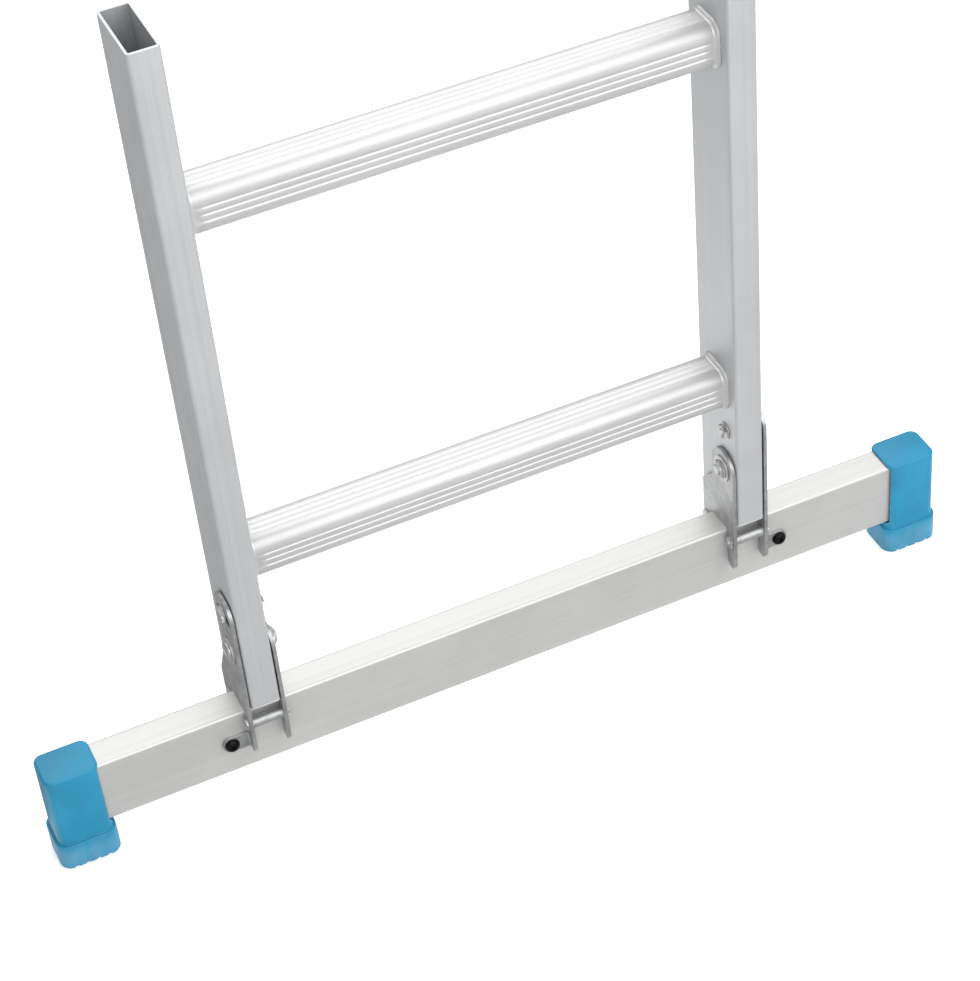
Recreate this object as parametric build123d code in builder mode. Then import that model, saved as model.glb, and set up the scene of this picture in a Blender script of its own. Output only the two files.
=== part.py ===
"""Foot end of an aluminium ladder: two stiles with their two lowest rungs, hinged on a stabiliser bar.

Frame: origin on the floor under the middle of the foot, X along the bar and the rungs, Y from front to
back, Z up along the stiles. All sizes are in millimetres. Side is +1 on the right and -1 on the left.
"""
import os

from build123d import *

# Ladder section
rung_pitch = 280.0
ladder_width = 396.0
stile_width = 21.0
stile_depth = 54.0
stile_wall = 1.8
stile_corner = 2.4
stile_above_rung = 127.0
rung_size = 32.0
rung_corner = 8.5
rung_wall = 1.6
rung_fit = 0.1
flute_width = 1.8
flute_depth = 0.6
flute_spacing = 5.0
flutes_per_face = 3
bead_height = 2.0
bead_width = 2.4
flare_height = 1.6
flare_thickness = 1.2

# Stabiliser bar and its place under the ladder
bar_length = 683.0
bar_height = 54.0
bar_depth = 24.0
bar_wall = 2.0
bar_corner = 2.5
bar_setback = 11.0
bar_ground_clearance = 27.0
bar_to_rung = 127.0
bar_to_stile = 11.0

# Feet
foot_end_wall = 4.5
foot_wall = 4.0
foot_grip = 35.0
foot_corner = 7.0
foot_top = 2.4
foot_bar_gap = 0.1
sole_thickness = 22.0
sole_rim = 2.2
sole_toe = 2.5
sole_heel = 2.0
sole_corner = 9.0
sole_groove_width = 3.0
sole_groove_depth = 1.8
sole_groove_spacing = 8.0
sole_grooves = 4
foot_edge = 1.2
ledge_edge = 0.8
tongue_length = 32.0
tongue_wall = 2.5
tongue_gap = 0.15

# Hinge brackets
cheek_thickness = 2.5
cheek_inset = 0.5
inner_cheek_inset = 7.0
cheek_bar_gap = 0.3
pivot_above_stile_end = 44.0
pivot_setback = 16.0
swing = 15.0
stop_radius = 34.0
stop_slot_gap = 0.3
outer_arm_above_stop = 14.0
arm_corner = 12.0
waist_above_bar = 47.0
shoulder_above_bar = 38.0
outer_hip_above_bar = 6.0
inner_hip_above_bar = 25.0
front_leg = 33.0
rear_leg = 18.0
front_leg_bolt_drop = 8.0
rear_leg_bolt_drop = 9.0
rear_leg_bolt_setback = 6.0
outer_hip_corner = 14.0
inner_hip_corner = 8.0
waist_corner = 12.0
shoulder_corner = 6.0
ear_width = 13.0
ear_thickness = 2.5
ear_bend = 2.0
bar_screw_outboard = 16.4
bar_screw_rise = 2.0

# Fasteners: shank radius, head and nut across flats, heights
pivot_shank = 4.0
pivot_head = 7.0
pivot_head_height = 2.8
pivot_nut_flats = 13.0
pivot_nut_height = 3.2
pivot_washer = 10.0
pivot_washer_thickness = 1.2
pivot_running_gap = 0.08
bush_radius = 6.0
bush_fit = 0.05
friction_washer = 10.0
friction_washer_thickness = 0.8
friction_gap = 0.1
stop_shank = 3.0
stop_head_flats = 10.0
stop_head_height = 2.2
stop_nut_height = 2.6
stop_washer = 6.5
stop_washer_thickness = 1.0
stop_sleeve = 4.8
leg_shank = 2.5
leg_head_flats = 8.0
leg_head_height = 1.8
leg_nut_height = 2.2
leg_spacer = 4.0
screw_shank = 3.0
screw_head = 5.2
screw_head_height = 3.2
screw_head_slope = 1.2
screw_socket_flats = 3.6
screw_socket_depth = 1.8
screw_washer = 6.5
screw_washer_thickness = 1.6
screw_nut_flats = 10.0
screw_nut_height = 5.5
screw_sleeve = 5.0
hole_gap = 0.2
thread_end = 0.8
edge_break = 0.5

# Stile plugs
plug_flange = 2.5
plug_depth = 22.0
plug_wall = 2.5
plug_gap = 0.15

# Heights and distances that follow from the sizes above
bar_bottom = bar_ground_clearance
bar_top = bar_bottom + bar_height
bar_middle = bar_bottom + bar_height / 2
stile_end = bar_top + bar_to_stile
rung_heights = [bar_top + bar_to_rung, bar_top + bar_to_rung + rung_pitch]
stile_top = rung_heights[-1] + stile_above_rung
stile_front = -stile_depth / 2
bar_front = stile_front + bar_setback
bar_back = bar_front + bar_depth
bar_mid_y = bar_front + bar_depth / 2
stile_outer = ladder_width / 2
stile_inner = stile_outer - stile_width
stile_mid = (stile_outer + stile_inner) / 2
outer_cheek_near = stile_outer + friction_washer_thickness
outer_cheek_far = outer_cheek_near + cheek_thickness
inner_cheek_far = stile_inner - friction_washer_thickness
inner_cheek_near = inner_cheek_far - cheek_thickness
pivot_y = stile_front + pivot_setback
pivot_z = stile_end + pivot_above_stile_end
stop_z = pivot_z + stop_radius
cheek_front = stile_front + cheek_inset
outer_cheek_back = stile_depth / 2 - cheek_inset
inner_cheek_back = stile_depth / 2 - inner_cheek_inset
leg_front_y = (cheek_front + bar_front - cheek_bar_gap) / 2
leg_back_y = bar_back + rear_leg_bolt_setback
front_leg_bolt_z = bar_top - front_leg_bolt_drop
rear_leg_bolt_z = bar_top - rear_leg_bolt_drop
bar_screw_x = stile_outer + bar_screw_outboard
bar_screw_z = bar_middle + bar_screw_rise
stile_inner_corner = max(stile_corner - stile_wall, edge_break)
foot_far = bar_length / 2 + foot_end_wall
foot_near = foot_far - foot_end_wall - foot_grip
SIDES = {"left": -1, "right": 1}


def save(piece, name):
    """Label a finished piece and write it as its own file."""
    piece.part.label = name
    export_step(piece.part, f"parts/{name}.step")


def side_plane(side, distance, y=0.0, z=0.0):
    """Plane seen from the ladder's side, Y across and Z up, at a distance from the middle."""
    return Plane((side * distance, y, z), x_dir=(0, 1, 0), z_dir=(1, 0, 0))


def front_plane(y):
    """Plane seen from the front, X across and Z up. A negative extrusion runs backwards from it."""
    return Plane.XZ.offset(-y)


def rod(plane, centre, radius, length, bore=0.0, mode=Mode.ADD):
    """Round bar, or a tube where a bore is given, standing on a plane."""
    with BuildSketch(plane) as face:
        with Locations(centre):
            Circle(radius)
            if bore:
                Circle(bore, mode=Mode.SUBTRACT)
    extrude(face.sketch, amount=length, mode=mode)


def hexagon(plane, centre, flats, length, bore=0.0, mode=Mode.ADD):
    """Hexagonal bar, or a nut where a bore is given, standing on a plane."""
    with BuildSketch(plane) as face:
        with Locations(centre):
            RegularPolygon(flats / 2, 6, major_radius=False, rotation=30)
            if bore:
                Circle(bore, mode=Mode.SUBTRACT)
    extrude(face.sketch, amount=length, mode=mode)


def rung_face(grow=0.0):
    """Outline of a rung in its side view, a square with well rounded corners."""
    RectangleRounded(rung_size + 2 * grow, rung_size + 2 * grow, rung_corner + grow)


def cut_flutes():
    """Lengthwise grooves in a rung's top, front and back faces, cut from its side view."""
    first = -flute_spacing * (flutes_per_face - 1) / 2
    across = [first + flute_spacing * i for i in range(flutes_per_face)]
    face = rung_size / 2
    for y in across:
        with Locations((y, face)):
            Rectangle(flute_width, 2 * flute_depth, mode=Mode.SUBTRACT)
    for z in across:
        with Locations((face, z), (-face, z)):
            Rectangle(2 * flute_depth, flute_width, mode=Mode.SUBTRACT)


def make_rung(height):
    """Ribbed tube through the stiles' inner walls, with a bead before each wall and a rolled end behind it."""
    across = side_plane(1, 0, z=height)
    hollow = -rung_wall - flute_depth
    wall_back = stile_inner + stile_wall
    with BuildPart() as rung:
        with BuildSketch(across):
            rung_face()
            cut_flutes()
        extrude(amount=stile_inner, both=True)
        for side in SIDES.values():
            with BuildSketch(across.offset(side * stile_inner)):
                rung_face()
            extrude(amount=side * stile_wall)
            with BuildSketch(across.offset(side * stile_inner)):
                rung_face(bead_height)
            extrude(amount=-side * bead_width)
            with BuildSketch(across.offset(side * wall_back)):
                rung_face(flare_height)
            extrude(amount=side * flare_thickness)
        with BuildSketch(across):
            rung_face(hollow)
        extrude(amount=ladder_width, both=True, mode=Mode.SUBTRACT)
    return rung


def make_stile(side):
    """Box-section stile with rung holes in its inner wall, pivot bush holes and stop bolt holes."""
    with BuildPart() as stile:
        with BuildSketch(Plane.XY.offset(stile_end)):
            with Locations((side * stile_mid, 0)):
                RectangleRounded(stile_width, stile_depth, stile_corner)
                RectangleRounded(
                    stile_width - 2 * stile_wall, stile_depth - 2 * stile_wall,
                    stile_inner_corner, mode=Mode.SUBTRACT,
                )
        extrude(amount=stile_top - stile_end)
        for height in rung_heights:
            with BuildSketch(side_plane(side, stile_inner, z=height)):
                rung_face(rung_fit)
            extrude(amount=side * stile_wall, mode=Mode.SUBTRACT)
        inside = side_plane(side, stile_inner)
        rod(inside, (pivot_y, pivot_z), bush_radius + bush_fit, side * stile_width, mode=Mode.SUBTRACT)
        rod(inside, (pivot_y, stop_z), stop_shank + hole_gap, side * stile_width, mode=Mode.SUBTRACT)
    return stile


def make_stile_plug(side):
    """Moulded plug: a flange under the stile's end and a hollow spigot inside it."""
    spigot_width = stile_width - 2 * (stile_wall + plug_gap)
    spigot_depth = stile_depth - 2 * (stile_wall + plug_gap)
    with BuildPart() as plug:
        with BuildSketch(Plane.XY.offset(stile_end - plug_flange)):
            with Locations((side * stile_mid, 0)):
                RectangleRounded(stile_width, stile_depth, stile_corner)
        extrude(amount=plug_flange)
        chamfer(plug.faces().sort_by(Axis.Z)[0].edges(), edge_break)
        with BuildSketch(Plane.XY.offset(stile_end)):
            with Locations((side * stile_mid, 0)):
                RectangleRounded(spigot_width, spigot_depth, stile_inner_corner)
                Rectangle(spigot_width - 2 * plug_wall, spigot_depth - 2 * plug_wall, mode=Mode.SUBTRACT)
        extrude(amount=plug_depth)
    return plug


def cheek_face(back, hip, waist, arm_top):
    """Cheek outline: an arm up the front half of the stile and two legs that straddle the bar.

    Hip, waist and arm top are heights, each with the radius of its corner.
    """
    arm_back = 2 * pivot_y - cheek_front
    leg_front_inner = bar_front - cheek_bar_gap
    leg_back_inner = bar_back + cheek_bar_gap
    front_round = (leg_front_inner - cheek_front) / 2 - edge_break
    back_round = (back - leg_back_inner) / 2 - edge_break
    corners = {
        (cheek_front, bar_top - front_leg): front_round,
        (leg_front_inner, bar_top - front_leg): front_round,
        (leg_front_inner, bar_top): 0.0,
        (leg_back_inner, bar_top): 0.0,
        (leg_back_inner, bar_top - rear_leg): back_round,
        (back, bar_top - rear_leg): back_round,
        (back, hip[0]): hip[1],
        (arm_back, waist[0]): waist[1],
        (arm_back, arm_top[0]): arm_top[1],
        (cheek_front, arm_top[0]): arm_top[1],
    }
    with BuildLine() as outline:
        FilletPolyline(*corners.keys(), radius=list(corners.values()), close=True)
    make_face(outline.edges())


def cut_cheek_holes(side, near):
    """Holes that every cheek has: the pivot bolt and the two leg bolts."""
    plane = side_plane(side, near)
    through = side * cheek_thickness
    rod(plane, (pivot_y, pivot_z), pivot_shank + hole_gap, through, mode=Mode.SUBTRACT)
    rod(plane, (leg_front_y, front_leg_bolt_z), leg_shank + hole_gap, through, mode=Mode.SUBTRACT)
    rod(plane, (leg_back_y, rear_leg_bolt_z), leg_shank + hole_gap, through, mode=Mode.SUBTRACT)


def make_inner_cheek(side):
    """Short cheek on the stile's inner side, its arm rounded about the pivot."""
    lobe = pivot_y - cheek_front
    with BuildPart() as cheek:
        with BuildSketch(side_plane(side, inner_cheek_near)):
            cheek_face(
                inner_cheek_back, (bar_top + inner_hip_above_bar, inner_hip_corner),
                (bar_top + shoulder_above_bar, shoulder_corner), (pivot_z + lobe, lobe - edge_break),
            )
        extrude(amount=side * cheek_thickness)
        cut_cheek_holes(side, inner_cheek_near)
    return cheek


def make_outer_cheek(side):
    """Tall cheek on the stile's outer side, with the stop bolt's arc slot and an ear on the bar's front."""
    slot_width = 2 * (stop_shank + stop_slot_gap)
    ear_length = bar_screw_x - outer_cheek_near
    with BuildPart() as cheek:
        with BuildSketch(side_plane(side, outer_cheek_near)):
            cheek_face(
                outer_cheek_back, (bar_top + outer_hip_above_bar, outer_hip_corner),
                (bar_top + waist_above_bar, waist_corner), (stop_z + outer_arm_above_stop, arm_corner),
            )
            with Locations((pivot_y, pivot_z)):
                SlotArc(
                    Edge.make_circle(stop_radius, start_angle=90 - swing, end_angle=90 + swing),
                    slot_width, mode=Mode.SUBTRACT,
                )
        extrude(amount=side * cheek_thickness)
        with BuildSketch(front_plane(bar_front - ear_thickness)):
            with Locations((side * (outer_cheek_near + ear_length / 2), bar_screw_z)):
                Rectangle(ear_length, ear_width)
            with Locations((side * bar_screw_x, bar_screw_z)):
                Circle(ear_width / 2)
        extrude(amount=-ear_thickness)
        bend_x = side * outer_cheek_far
        bend_y = bar_front - ear_thickness
        bend = (
            cheek.edges().filter_by(Axis.Z)
            .filter_by_position(Axis.X, bend_x - edge_break, bend_x + edge_break)
            .filter_by_position(Axis.Y, bend_y - edge_break, bend_y + edge_break)
        )
        fillet(bend, ear_bend)
        cut_cheek_holes(side, outer_cheek_near)
        rod(
            front_plane(bar_front - ear_thickness), (side * bar_screw_x, bar_screw_z),
            screw_shank + hole_gap, -ear_thickness, mode=Mode.SUBTRACT,
        )
    return cheek


def make_stabiliser_bar():
    """Rectangular tube across the foot, drilled for the two bar screws."""
    with BuildPart() as bar:
        with BuildSketch(side_plane(1, 0, bar_mid_y, bar_middle)):
            RectangleRounded(bar_depth, bar_height, bar_corner)
            Rectangle(bar_depth - 2 * bar_wall, bar_height - 2 * bar_wall, mode=Mode.SUBTRACT)
        extrude(amount=bar_length / 2, both=True)
        for side in SIDES.values():
            rod(
                front_plane(bar_front), (side * bar_screw_x, bar_screw_z),
                screw_shank + hole_gap, -bar_depth, mode=Mode.SUBTRACT,
            )
    return bar


def make_foot(side):
    """Moulded cap: a grooved sole, a collar round the bar's end and a hollow tongue inside the bar."""
    collar_depth = bar_depth + 2 * foot_wall
    sole_depth = collar_depth + 2 * sole_rim

    def block(low, high, near, far, depth, corner):
        with BuildSketch(Plane.XY.offset(low)) as face:
            with Locations((side * (near + far) / 2, bar_mid_y)):
                RectangleRounded(far - near, depth, corner)
        extrude(face.sketch, amount=high - low)

    with BuildPart() as foot:
        block(0, sole_thickness, foot_near - sole_heel, foot_far + sole_toe, sole_depth, sole_corner)
        block(0, bar_top + foot_top, foot_near, foot_far, collar_depth, foot_corner)
        rims = foot.faces().filter_by(Axis.Z).sort_by(Axis.Z)
        chamfer(rims[-1].edges() + rims[0].edges(), foot_edge)
        ledge = foot.edges().filter_by_position(Axis.Z, sole_thickness, sole_thickness)
        chamfer(ledge, ledge_edge)
        with BuildSketch(side_plane(side, bar_length / 2)):
            with Locations((bar_mid_y, bar_middle)):
                RectangleRounded(
                    bar_depth + 2 * foot_bar_gap, bar_height + 2 * foot_bar_gap, bar_corner + foot_bar_gap,
                )
        extrude(amount=-side * (foot_grip + sole_heel), mode=Mode.SUBTRACT)
        tongue_depth = bar_depth - 2 * (bar_wall + tongue_gap)
        tongue_height = bar_height - 2 * (bar_wall + tongue_gap)
        with BuildSketch(side_plane(side, bar_length / 2)):
            with Locations((bar_mid_y, bar_middle)):
                Rectangle(tongue_depth, tongue_height)
                Rectangle(tongue_depth - 2 * tongue_wall, tongue_height - 2 * tongue_wall, mode=Mode.SUBTRACT)
        extrude(amount=-side * tongue_length)
        middle_x = side * (foot_near - sole_heel + foot_far + sole_toe) / 2
        with BuildSketch(Plane.XY):
            with Locations((middle_x, bar_mid_y)):
                with GridLocations(sole_groove_spacing, 0, sole_grooves, 1):
                    Rectangle(sole_groove_width, sole_depth)
        extrude(amount=sole_groove_depth, mode=Mode.SUBTRACT)
    return foot


def make_pivot_bolt(side):
    """Hinge bolt with a low round head outside and its threaded end inside."""
    head_seat = outer_cheek_far + pivot_washer_thickness
    tip = inner_cheek_near - pivot_washer_thickness - pivot_nut_height - thread_end
    with BuildPart() as bolt:
        rod(side_plane(side, tip), (pivot_y, pivot_z), pivot_shank, side * (head_seat - tip))
        rod(side_plane(side, head_seat), (pivot_y, pivot_z), pivot_head, side * pivot_head_height)
        chamfer(bolt.faces().sort_by(Axis.X)[-1 if side > 0 else 0].edges(), pivot_head_height / 2)
    return bolt


def make_pivot_bush(side):
    """Plain bush through the stile, in which the pivot bolt turns."""
    with BuildPart() as bush:
        rod(
            side_plane(side, stile_inner), (pivot_y, pivot_z), bush_radius, side * stile_width,
            bore=pivot_shank + pivot_running_gap,
        )
    return bush


def make_pivot_hardware():
    """Washers and lock nuts of the pivot bolts, and the friction washers beside the stiles."""
    centre = (pivot_y, pivot_z)
    bore = pivot_shank + hole_gap
    washer_seat = inner_cheek_near - pivot_washer_thickness
    thickness = friction_washer_thickness - friction_gap
    with BuildPart() as washers:
        for side in SIDES.values():
            outwards = side * pivot_washer_thickness
            rod(side_plane(side, outer_cheek_far), centre, pivot_washer, outwards, bore)
            rod(side_plane(side, washer_seat), centre, pivot_washer, outwards, bore)
    with BuildPart() as friction_washers:
        for side in SIDES.values():
            rod(side_plane(side, outer_cheek_near), centre, friction_washer, -side * thickness, bore)
            rod(side_plane(side, inner_cheek_far), centre, friction_washer, side * thickness, bore)
    with BuildPart() as nuts:
        for side in SIDES.values():
            hexagon(side_plane(side, washer_seat), centre, pivot_nut_flats, -side * pivot_nut_height, bore)
    return {"pivot_washers": washers, "friction_washers": friction_washers, "pivot_lock_nuts": nuts}


def make_stop_hardware():
    """Stop bolts in the arc slots, with the sleeves, washers and nuts that clamp them to the stiles."""
    centre = (pivot_y, stop_z)
    bore = stop_shank + hole_gap
    head_seat = outer_cheek_far + friction_gap + stop_washer_thickness
    nut_seat = stile_inner - stop_washer_thickness
    tip = nut_seat - stop_nut_height - thread_end
    sleeve_length = stile_width - 2 * (stile_wall + hole_gap)
    with BuildPart() as bolts:
        for side in SIDES.values():
            rod(side_plane(side, tip), centre, stop_shank, side * (head_seat - tip))
            hexagon(side_plane(side, head_seat), centre, stop_head_flats, side * stop_head_height)
    with BuildPart() as sleeves:
        for side in SIDES.values():
            rod(side_plane(side, stile_inner + stile_wall + hole_gap), centre, stop_sleeve,
                side * sleeve_length, bore)
    with BuildPart() as washers:
        for side in SIDES.values():
            outwards = side * stop_washer_thickness
            rod(side_plane(side, outer_cheek_far + friction_gap), centre, stop_washer, outwards, bore)
            rod(side_plane(side, nut_seat), centre, stop_washer, outwards, bore)
    with BuildPart() as nuts:
        for side in SIDES.values():
            hexagon(side_plane(side, nut_seat), centre, stop_head_flats, -side * stop_nut_height, bore)
    return {"stop_bolts": bolts, "stop_sleeves": sleeves, "stop_washers": washers, "stop_nuts": nuts}


def make_leg_hardware():
    """Bolts that tie each pair of cheeks together in front of and behind the bar, over spacer tubes."""
    centres = [(leg_front_y, front_leg_bolt_z), (leg_back_y, rear_leg_bolt_z)]
    bore = leg_shank + hole_gap
    tip = inner_cheek_near - leg_nut_height - thread_end
    with BuildPart() as bolts:
        for side in SIDES.values():
            for centre in centres:
                rod(side_plane(side, tip), centre, leg_shank, side * (outer_cheek_far - tip))
                hexagon(side_plane(side, outer_cheek_far), centre, leg_head_flats, side * leg_head_height)
    with BuildPart() as spacers:
        for side in SIDES.values():
            for centre in centres:
                rod(side_plane(side, inner_cheek_far), centre, leg_spacer,
                    side * (outer_cheek_near - inner_cheek_far), bore)
    with BuildPart() as nuts:
        for side in SIDES.values():
            for centre in centres:
                hexagon(side_plane(side, inner_cheek_near), centre, leg_head_flats,
                        -side * leg_nut_height, bore)
    return {"leg_bolts": bolts, "leg_spacers": spacers, "leg_nuts": nuts}


def make_bar_hardware():
    """Black button-head screws through the ears and the bar, with crush sleeves, washers and nuts."""
    bore = screw_shank + hole_gap
    head_seat = bar_front - ear_thickness
    nut_seat = bar_back + screw_washer_thickness
    tip = nut_seat + screw_nut_height + thread_end
    centres = [(side * bar_screw_x, bar_screw_z) for side in SIDES.values()]
    with BuildPart() as screws:
        for centre in centres:
            rod(front_plane(head_seat), centre, screw_shank, head_seat - tip)
            rod(front_plane(head_seat), centre, screw_head, screw_head_height)
        chamfer(screws.faces().filter_by(Axis.Y).group_by(Axis.Y)[0].edges(), screw_head_slope)
        for centre in centres:
            hexagon(front_plane(head_seat - screw_head_height), centre, screw_socket_flats,
                    -screw_socket_depth, mode=Mode.SUBTRACT)
    with BuildPart() as sleeves:
        for centre in centres:
            rod(front_plane(bar_front + bar_wall), centre, screw_sleeve, -(bar_depth - 2 * bar_wall), bore)
    with BuildPart() as washers:
        for centre in centres:
            rod(front_plane(bar_back), centre, screw_washer, -screw_washer_thickness, bore)
    with BuildPart() as nuts:
        for centre in centres:
            hexagon(front_plane(nut_seat), centre, screw_nut_flats, -screw_nut_height, bore)
    return {"bar_screws": screws, "bar_sleeves": sleeves, "bar_washers": washers, "bar_nuts": nuts}


os.makedirs("parts", exist_ok=True)

save(make_stabiliser_bar(), "stabiliser_bar")
for rung_name, rung_height in zip(("lower_rung", "upper_rung"), rung_heights):
    save(make_rung(rung_height), rung_name)
for side_name, side_sign in SIDES.items():
    save(make_stile(side_sign), f"{side_name}_stile")
    save(make_stile_plug(side_sign), f"{side_name}_stile_plug")
    save(make_outer_cheek(side_sign), f"{side_name}_outer_cheek")
    save(make_inner_cheek(side_sign), f"{side_name}_inner_cheek")
    save(make_foot(side_sign), f"{side_name}_foot")
    save(make_pivot_bolt(side_sign), f"{side_name}_pivot_bolt")
    save(make_pivot_bush(side_sign), f"{side_name}_pivot_bush")
for make_hardware in (make_pivot_hardware, make_stop_hardware, make_leg_hardware, make_bar_hardware):
    for hardware_name, hardware in make_hardware().items():
        save(hardware, hardware_name)
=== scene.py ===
"""Looks of the ladder foot: finishes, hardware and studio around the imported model."""

from contextlib import contextmanager
from math import pi, radians, sqrt, tan

import bmesh
import bpy
from bpy.props import FloatProperty, FloatVectorProperty, PointerProperty
from mathutils import Matrix, Vector


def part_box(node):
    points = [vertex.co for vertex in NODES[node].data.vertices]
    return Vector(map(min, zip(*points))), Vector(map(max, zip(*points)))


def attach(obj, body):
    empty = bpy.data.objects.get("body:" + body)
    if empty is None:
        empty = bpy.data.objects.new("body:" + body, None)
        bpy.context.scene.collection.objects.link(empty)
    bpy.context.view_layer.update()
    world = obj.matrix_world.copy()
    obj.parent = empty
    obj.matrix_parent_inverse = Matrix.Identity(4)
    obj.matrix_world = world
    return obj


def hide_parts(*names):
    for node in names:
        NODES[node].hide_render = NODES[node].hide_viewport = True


bl_info = {
    "name": "Ladder foot",
    "version": (1, 0, 0),
    "blender": (4, 5, 0),
    "location": "View3D > Sidebar > Ladder foot",
    "description": "Dresses the foot end of an aluminium ladder and sets up its studio",
    "category": "Object",
}

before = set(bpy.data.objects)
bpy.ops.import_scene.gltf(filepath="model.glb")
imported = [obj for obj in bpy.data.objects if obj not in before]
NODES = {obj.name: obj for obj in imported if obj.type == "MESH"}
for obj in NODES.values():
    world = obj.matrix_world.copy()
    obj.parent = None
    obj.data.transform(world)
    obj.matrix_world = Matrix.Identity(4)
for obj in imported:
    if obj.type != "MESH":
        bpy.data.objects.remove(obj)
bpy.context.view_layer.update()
MM = 0.001
# Numbers of the axes.
X, Z = 0, 2
# Left and right.
SIDES = (-1, 1)
# Turns that take the X axis to the front and to the back.
FORWARDS = Matrix.Rotation(-pi / 2, 4, "Z")
BACKWARDS = Matrix.Rotation(pi / 2, 4, "Z")
# Corners of round forms: shanks and bores, rims, the cone that trims a hexagon, rung grooves.
SHANK_CORNERS, RIM_CORNERS, CONE_CORNERS, FLUTE_CORNERS = 48, 64, 96, 20
HEXAGON = 6
# Cosine from which two directions count as the same, and distance up to which two places do.
SAME_WAY, SAME_PLACE = 0.99, 0.01 * MM
# Angle up to which an edge is shaded smooth.
SMOOTH_ANGLE = radians(40)
# How far a cutting tool reaches past the piece that it cuts.
PAST = MM
# Rounding of the sharp edges of washers and plain nuts, of bolts and lock nuts, and of rungs.
NUT_EDGE, BOLT_EDGE, RUNG_EDGE = 0.15 * MM, 0.12 * MM, 0.25 * MM
# Start and height of a lock nut's insert, as shares of the nut's height.
INSERT_START, INSERT_HEIGHT = 0.70, 0.24
# Colours that plastic takes on where it is scuffed, and near the floor, where dust lies and painted light
# brightens the sole.
SCUFF_COLOUR, DUST_AND_PAINTED_LIGHT_COLOUR = (0.45, 0.58, 0.66, 1.0), (0.50, 0.52, 0.51, 1.0)
# Sockets of a Mix node that blends two colours.
MIX_SHARE, MIX_FIRST, MIX_SECOND, MIX_RESULT = 0, 6, 7, 2


def box_of(node):
    """Lowest corner, highest corner and middle of a CAD node."""
    low, high = (Vector(corner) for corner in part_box(node))
    return low, high, (low + high) / 2


class Wire:
    """A socket's value. Arithmetic on it adds Math nodes to its finish."""

    def __init__(self, finish, socket):
        self.finish = finish
        self.socket = socket

    def maths(self, operation, *values):
        node = self.finish.tree.nodes.new("ShaderNodeMath")
        node.operation = operation
        for slot, value in zip(node.inputs, values):
            self.finish.plug(slot, value)
        return Wire(self.finish, node.outputs[0])

    def __add__(self, other):
        return self.maths("ADD", self, other)

    def __sub__(self, other):
        return self.maths("SUBTRACT", self, other)

    def __rsub__(self, other):
        return self.maths("SUBTRACT", other, self)

    def __mul__(self, other):
        return self.maths("MULTIPLY", self, other)

    __radd__ = __add__
    __rmul__ = __mul__

    def clamp(self):
        return self.maths("MINIMUM", self.maths("MAXIMUM", self, 0.0), 1.0)


class Finish:
    """A procedural material, or the world, while it is being put together."""

    def __init__(self, name, blocks=None):
        self.material = (bpy.data.materials if blocks is None else blocks).new(name)
        self.material.use_nodes = True
        self.tree = self.material.node_tree
        self.tree.nodes.clear()

    def plug(self, socket, value):
        if isinstance(value, Wire):
            self.tree.links.new(value.socket, socket)
        else:
            socket.default_value = value

    def node(self, kind, sockets, output=0, **settings):
        """Add a node, set it up, fill its sockets and return one of its outputs."""
        node = self.tree.nodes.new("ShaderNode" + kind)
        for key, value in settings.items():
            setattr(node, key, value)
        for key, value in sockets.items():
            self.plug(node.inputs[key], value)
        return Wire(self, node.outputs[output]) if node.outputs else None

    def place(self, scale, turn=0.0):
        """Object coordinates, stretched, and turned about every axis."""
        where = self.node("TexCoord", {}, "Object")
        return self.node("Mapping", {"Vector": where, "Scale": scale, "Rotation": (turn, turn, turn)})

    def noise(self, scale, detail=2.0, roughness=0.5, turn=0.0):
        """Noise of 0 to 1. A scale for each axis stretches it."""
        if isinstance(scale, float):
            scale = (scale, scale, scale)
        return self.node(
            "TexNoise",
            {"Vector": self.place(scale, turn), "Scale": 1.0, "Detail": detail, "Roughness": roughness},
        )

    def scratches(self, turn):
        """Sparse thin strokes, 0 to 1, turned about every axis."""
        stroke = self.noise((55.0, 1600.0, 1600.0), detail=1.0, turn=turn)
        patch = self.noise(22.0)
        return self.step(stroke, 0.70, 0.76) * self.step(patch, 0.52, 0.66)

    def soft_normal(self, width):
        """Normal that runs round the edges."""
        return self.node("Bevel", {"Radius": width}, samples=4)

    def edges(self, width):
        """1 along edges, 0 on open faces."""
        flat = self.node("NewGeometry", {}, "Normal")
        soft = self.soft_normal(width)
        match = self.node("VectorMath", {0: flat, 1: soft}, "Value", operation="DOT_PRODUCT")
        return self.step(match, 0.995, 0.90)

    def step(self, value, low, high):
        """Smooth rise from 0 at low to 1 at high."""
        return self.node(
            "MapRange", {"Value": value, "From Min": low, "From Max": high}, interpolation_type="SMOOTHSTEP",
        )

    def tint(self, share, first, second):
        """Blend of two colours."""
        sockets = {MIX_SHARE: share, MIX_FIRST: first, MIX_SECOND: second}
        return self.node("Mix", sockets, MIX_RESULT, data_type="RGBA")

    def surface(self, bump=None, edge=0.0, **sockets):
        """Principled shader on the output, with an optional bump and softened edges."""
        normal = self.soft_normal(edge) if edge else None
        if bump:
            height, depth = bump
            feed = {"Height": height, "Strength": 1.0, "Distance": depth}
            if normal:
                feed["Normal"] = normal
            normal = self.node("Bump", feed)
        if normal:
            sockets["Normal"] = normal
        shader = self.node("BsdfPrincipled", {key.replace("_", " "): value for key, value in sockets.items()})
        self.node("OutputMaterial", {"Surface": shader})
        return self.material


def rgba(colour, gain=1.0):
    """Colour for a socket, made brighter or darker."""
    return (colour[0] * gain, colour[1] * gain, colour[2] * gain, 1.0)


def grey(value):
    """Grey for a socket."""
    return rgba((value, value, value))


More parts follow.
